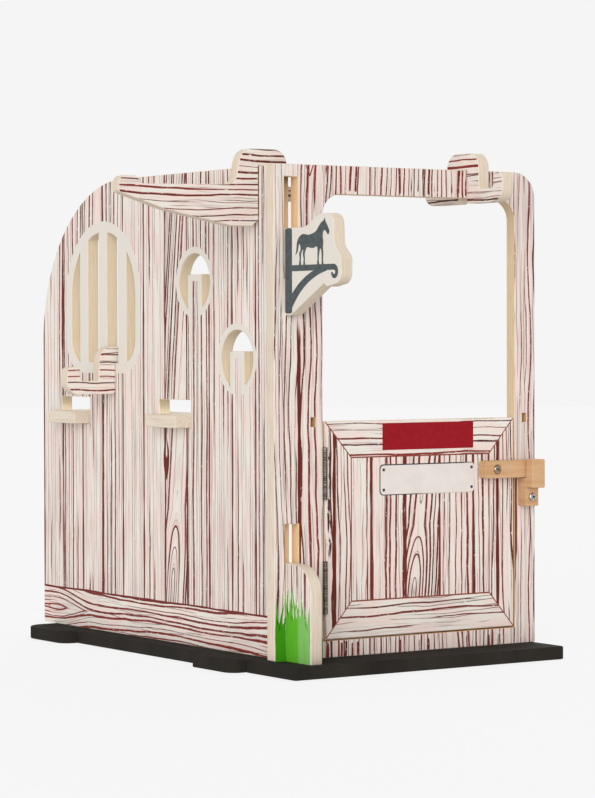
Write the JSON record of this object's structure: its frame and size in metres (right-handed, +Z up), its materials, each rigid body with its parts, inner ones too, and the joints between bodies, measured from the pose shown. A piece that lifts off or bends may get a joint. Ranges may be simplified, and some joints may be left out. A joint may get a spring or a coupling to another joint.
{
  "type": "toy stable",
  "caption": "Slot-together toy stable: printed plywood wall and front with a hinged half door, turn latch, lift-off hooks, saddle rack and tack shelf on a foam mat.",
  "frame": {"origin": "middle of the foam mat's underside, its tabs left out", "axes": "+Z up, -Y towards the front (the door side), +X to the right seen from the front"},
  "size_m": [0.527, 0.655, 0.579],
  "materials": {
    "printed_ply": "off-white plywood printed with red-brown plank lines, bare edges",
    "latch_wood": "satin beech",
    "foam": "matt charcoal closed-cell foam",
    "hinge_metal": "dull plated steel",
    "screw_metal": "bright zinc-plated steel"
  },
  "bodies": {
    "frame": {"base_mat": "foam", "side_wall": "printed_ply", "front_panel": "printed_ply", "hinge_upper_frame_leaf": "hinge_metal", "hinge_upper_pin": "hinge_metal", "hinge_lower_frame_leaf": "hinge_metal", "hinge_lower_pin": "hinge_metal", "hinge_frame_screws": "screw_metal", "keeper_spacer": "latch_wood", "keeper_block": "latch_wood", "keeper_screw": "screw_metal"},
    "door": {"door": "printed_ply", "hinge_upper_door_leaf": "hinge_metal", "hinge_lower_door_leaf": "hinge_metal", "hinge_door_screws": "screw_metal", "latch_screw": "screw_metal", "latch_washer": "screw_metal"},
    "latch": {"latch_bar": "latch_wood"},
    "front_hook": {"bridle_hook_front": "printed_ply"},
    "window_hook": {"bridle_hook_window": "printed_ply"},
    "rack": {"saddle_rack": "printed_ply"},
    "shelf": {"tack_shelf": "printed_ply"}
  },
  "joints": [
    {"name": "door_swing", "type": "hinge", "parent": "frame", "child": "door", "pos_m": [-0.1103, -0.2349, 0.156], "axis": [0, 0, -1], "range_deg": [0, 120]},
    {"name": "latch_turn", "type": "hinge", "parent": "door", "child": "latch", "pos_m": [0.1219, -0.23975, 0.218], "axis": [0, -1, 0], "range_deg": [0, 180]},
    {"name": "front_hook_lift", "type": "slide", "parent": "frame", "child": "front_hook", "axis": [0, 0, 1], "range_m": [0, 0.06]},
    {"name": "window_hook_lift", "type": "slide", "parent": "frame", "child": "window_hook", "axis": [0, 0, 1], "range_m": [0, 0.05]},
    {"name": "rack_lift", "type": "slide", "parent": "frame", "child": "rack", "axis": [0, 0, 1], "range_m": [0, 0.08]},
    {"name": "shelf_pull", "type": "slide", "parent": "frame", "child": "shelf", "axis": [1, 0, 0], "range_m": [0, 0.06]}
  ]
}
